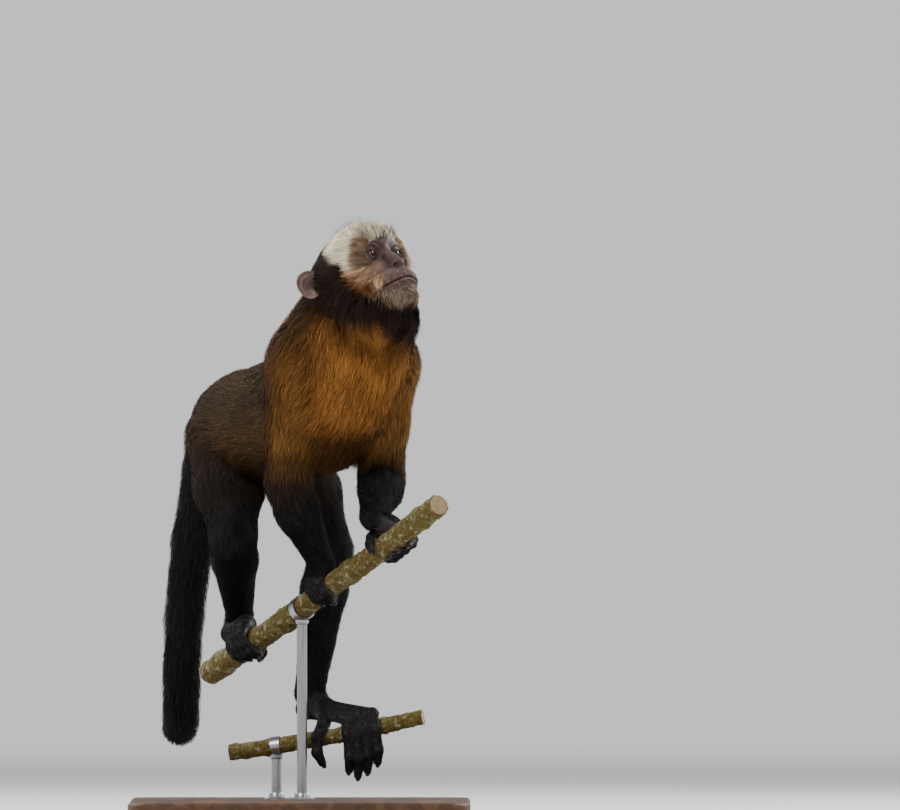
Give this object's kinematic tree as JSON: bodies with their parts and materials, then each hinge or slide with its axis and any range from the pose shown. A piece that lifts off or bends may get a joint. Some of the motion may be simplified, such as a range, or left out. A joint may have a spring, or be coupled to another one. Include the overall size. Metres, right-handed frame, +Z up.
{
  "type": "capuchin monkey model",
  "caption": "Life-size still model of a capuchin monkey walking on all fours along a sloping branch, looking up to one side, on a flat stand.",
  "frame": {"origin": "centre of the stand base's flat underside, on the floor", "axes": "+Z up; the animal heads mostly towards -Y and a little +X, with its tail at +Y; +X is the side that its face turns to"},
  "size_m": [0.2994, 0.4868, 0.532],
  "materials": {
    "coat_pale": "soft grizzled fur",
    "coat_rufous": "soft fur",
    "coat_dark": "glossy dark fur",
    "bare_skin": "fine wrinkled skin",
    "eye": "wet gloss",
    "nail": "satin horn",
    "bark": "rough bark with lichen",
    "stand_wood": "satin varnish",
    "stand_steel": "brushed"
  },
  "bodies": {
    "root": {"abdomen": "coat_rufous", "chest": "coat_rufous", "ear_left": "bare_skin", "ear_right": "bare_skin", "eye_left": "eye", "eye_right": "eye", "foot_left": "coat_dark", "foot_right": "coat_dark", "forearm_left": "coat_dark", "forearm_right": "coat_dark", "hand_left": "coat_dark", "hand_right": "coat_dark", "head": "coat_pale", "neck": "coat_pale", "pelvis": "coat_dark", "perch_branch_lower": "bark", "perch_branch_upper": "bark", "shin_left": "coat_dark", "shin_right": "coat_dark", "stand_base": "stand_wood", "stand_rod_lower": "stand_steel", "stand_rod_upper": "stand_steel", "tail_01": "coat_dark", "tail_02": "coat_dark", "tail_03": "coat_dark", "tail_04": "coat_dark", "tail_05": "coat_dark", "tail_06": "coat_dark", "thigh_left": "coat_dark", "thigh_right": "coat_dark", "upper_arm_left": "coat_rufous", "upper_arm_right": "coat_rufous"}
  },
  "joints": []
}
